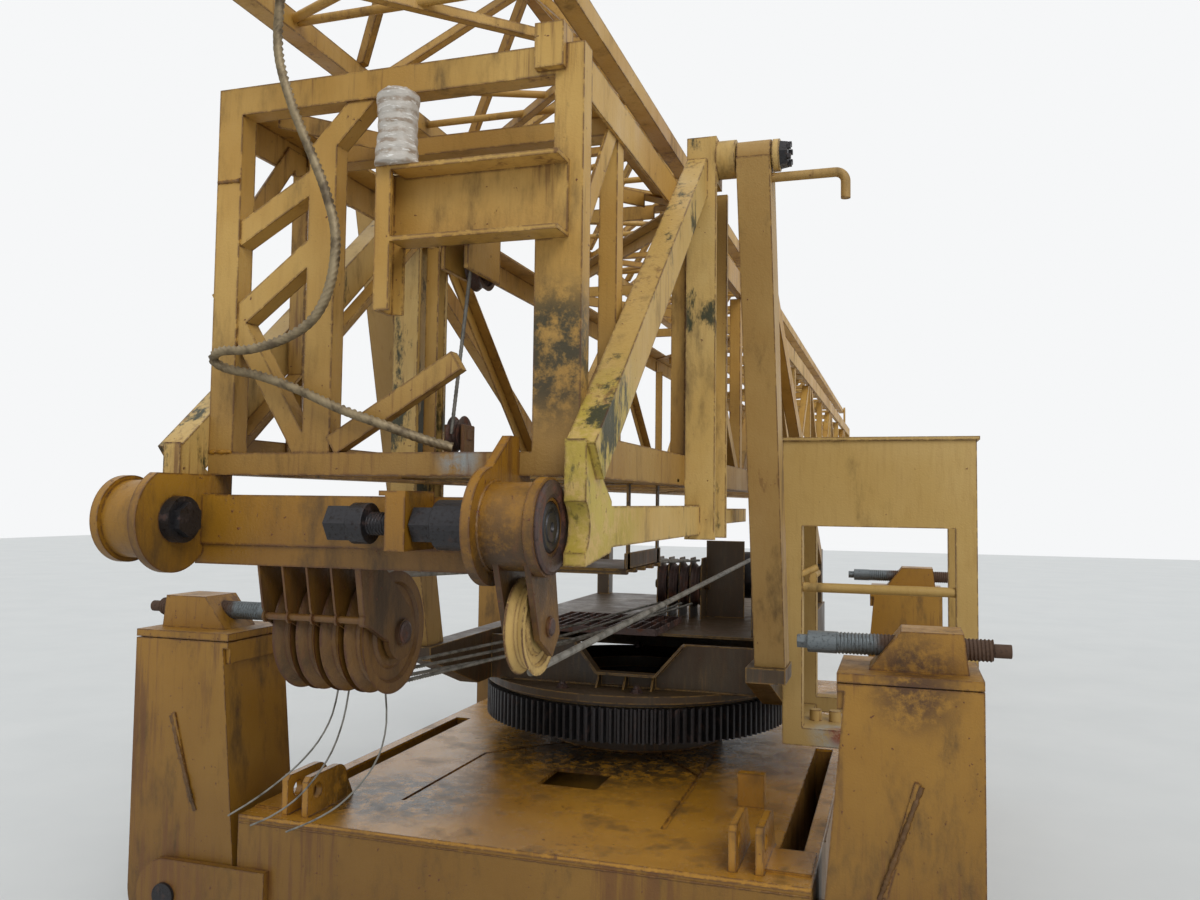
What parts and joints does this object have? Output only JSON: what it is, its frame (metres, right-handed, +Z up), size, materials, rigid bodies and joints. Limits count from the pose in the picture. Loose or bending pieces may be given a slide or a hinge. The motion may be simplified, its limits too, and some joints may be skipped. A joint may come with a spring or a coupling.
{
  "type": "tower crane",
  "caption": "Bottom-slewing lattice tower crane folded down on its undercarriage, with swing-up outrigger legs, winch, rope tackle and folded jib.",
  "frame": {"origin": "slewing axis at ground level, on the underside of the cross beam under the ring", "axes": "+Z up along the slewing axis, +Y along the folded tower away from its foot, +X to the side that carries the cage"},
  "size_m": [2.84, 10.635, 3.175],
  "materials": {
    "ochre_paint": "worn ochre paint, satin, streaked with rust and algae",
    "pale_ochre_paint": "chalky pale ochre paint",
    "dark_steel": "dark greased steel",
    "rusty_iron": "rusty cast iron, worn in the grooves",
    "rope_wire": "dull greased wire rope",
    "plastic_wrap": "thin cloudy plastic wrapping"
  },
  "bodies": {
    "chassis": {"chassis_frame": "ochre_paint", "deck_plate": "ochre_paint", "deck_lugs": "pale_ochre_paint", "ring_collar": "ochre_paint", "slew_ring": "dark_steel", "leg_pins": "dark_steel"},
    "leg_front_right": {"leg_fr": "ochre_paint"},
    "leg_front_left": {"leg_fl": "ochre_paint"},
    "leg_rear_right": {"leg_rr": "ochre_paint"},
    "leg_rear_left": {"leg_rl": "ochre_paint"},
    "jack_front_right": {"jack_fr": "dark_steel"},
    "jack_front_left": {"jack_fl": "dark_steel"},
    "jack_rear_right": {"jack_rr": "dark_steel"},
    "jack_rear_left": {"jack_rl": "dark_steel"},
    "platform": {"base_flange": "ochre_paint", "platform_frame": "ochre_paint", "a_post_r": "ochre_paint", "a_post_l": "ochre_paint", "back_stay_r": "ochre_paint", "back_stay_l": "ochre_paint", "fixed_block": "ochre_paint", "winch_frame": "ochre_paint", "cage_frame": "pale_ochre_paint", "cage_rail": "pale_ochre_paint"},
    "fixed_block_sheaves": {"fixed_sheaves": "rusty_iron"},
    "winch_drum": {"winch_drum": "dark_steel"},
    "tower": {"end_frame": "ochre_paint", "head_frame": "ochre_paint", "tower_side_r": "ochre_paint", "tower_side_l": "ochre_paint", "tower_top": "ochre_paint", "tower_bottom": "ochre_paint", "foot_frame_r": "pale_ochre_paint", "foot_frame_l": "pale_ochre_paint", "foot_beam": "ochre_paint", "channel_bracket": "ochre_paint", "wrapped_pad": "plastic_wrap", "block_cheeks": "ochre_paint", "tackle_ropes": "rope_wire", "hoist_rope": "rope_wire", "lift_rope": "rope_wire"},
    "lock_pin_right": {"lock_pin_r": "dark_steel"},
    "lock_pin_left": {"lock_pin_l": "dark_steel"},
    "block_sheaves": {"block_sheaves": "ochre_paint"},
    "single_sheave": {"single_sheave": "ochre_paint"},
    "guide_sheave": {"guide_sheave": "rusty_iron"},
    "jib": {"jib_bottom": "ochre_paint", "jib_side_r": "ochre_paint", "jib_side_l": "ochre_paint"}
  },
  "joints": [
    {"name": "slew", "type": "hinge", "parent": "chassis", "child": "platform", "pos_m": [0, 0, 0.8], "axis": [0, 0, 1], "continuous": true},
    {"name": "tower_raise", "type": "hinge", "parent": "platform", "child": "tower", "pos_m": [0.07, -1.35, 2.645], "axis": [1, 0, 0], "range_deg": [0, 90]},
    {"name": "jib_unfold", "type": "hinge", "parent": "tower", "child": "jib", "pos_m": [0.07, 7.975, 2.75], "axis": [-1, 0, 0], "range_deg": [0, 90]},
    {"name": "leg_front_right_swing", "type": "hinge", "parent": "chassis", "child": "leg_front_right", "pos_m": [1.165, -1.3825, 0.3], "axis": [0, 1, 0], "range_deg": [0, 90]},
    {"name": "jack_front_right_screw", "type": "slide", "parent": "leg_front_right", "child": "jack_front_right", "axis": [1, 0, 0], "range_m": [0, 0.2]},
    {"name": "leg_front_left_swing", "type": "hinge", "parent": "chassis", "child": "leg_front_left", "pos_m": [-1.165, -1.3825, 0.3], "axis": [0, -1, 0], "range_deg": [0, 90]},
    {"name": "jack_front_left_screw", "type": "slide", "parent": "leg_front_left", "child": "jack_front_left", "axis": [-1, 0, 0], "range_m": [0, 0.2]},
    {"name": "leg_rear_right_swing", "type": "hinge", "parent": "chassis", "child": "leg_rear_right", "pos_m": [1.165, 1.3825, 0.3], "axis": [0, 1, 0], "range_deg": [0, 90]},
    {"name": "jack_rear_right_screw", "type": "slide", "parent": "leg_rear_right", "child": "jack_rear_right", "axis": [1, 0, 0], "range_m": [0, 0.2]},
    {"name": "leg_rear_left_swing", "type": "hinge", "parent": "chassis", "child": "leg_rear_left", "pos_m": [-1.165, 1.3825, 0.3], "axis": [0, -1, 0], "range_deg": [0, 90]},
    {"name": "jack_rear_left_screw", "type": "slide", "parent": "leg_rear_left", "child": "jack_rear_left", "axis": [-1, 0, 0], "range_m": [0, 0.2]},
    {"name": "lock_pin_right_draw", "type": "slide", "parent": "tower", "child": "lock_pin_right", "axis": [1, 0, 0], "range_m": [0, 0.045]},
    {"name": "lock_pin_left_draw", "type": "slide", "parent": "tower", "child": "lock_pin_left", "axis": [-1, 0, 0], "range_m": [0, 0.045]},
    {"name": "winch_turn", "type": "hinge", "parent": "platform", "child": "winch_drum", "pos_m": [0.445, 0.5, 1.25], "axis": [1, 0, 0], "continuous": true},
    {"name": "fixed_block_turn", "type": "hinge", "parent": "platform", "child": "fixed_block_sheaves", "pos_m": [0.14, 0.3, 1.21], "axis": [1, 0, 0], "continuous": true},
    {"name": "block_turn", "type": "hinge", "parent": "tower", "child": "block_sheaves", "pos_m": [-0.09, -2.225, 1.295], "axis": [1, 0, 0], "continuous": true},
    {"name": "single_sheave_turn", "type": "hinge", "parent": "tower", "child": "single_sheave", "pos_m": [0.445, -2.44, 1.355], "axis": [1, 0, 0], "continuous": true},
    {"name": "guide_sheave_turn", "type": "hinge", "parent": "tower", "child": "guide_sheave", "pos_m": [0.235, -2.25, 2.125], "axis": [1, 0, 0], "continuous": true}
  ]
}
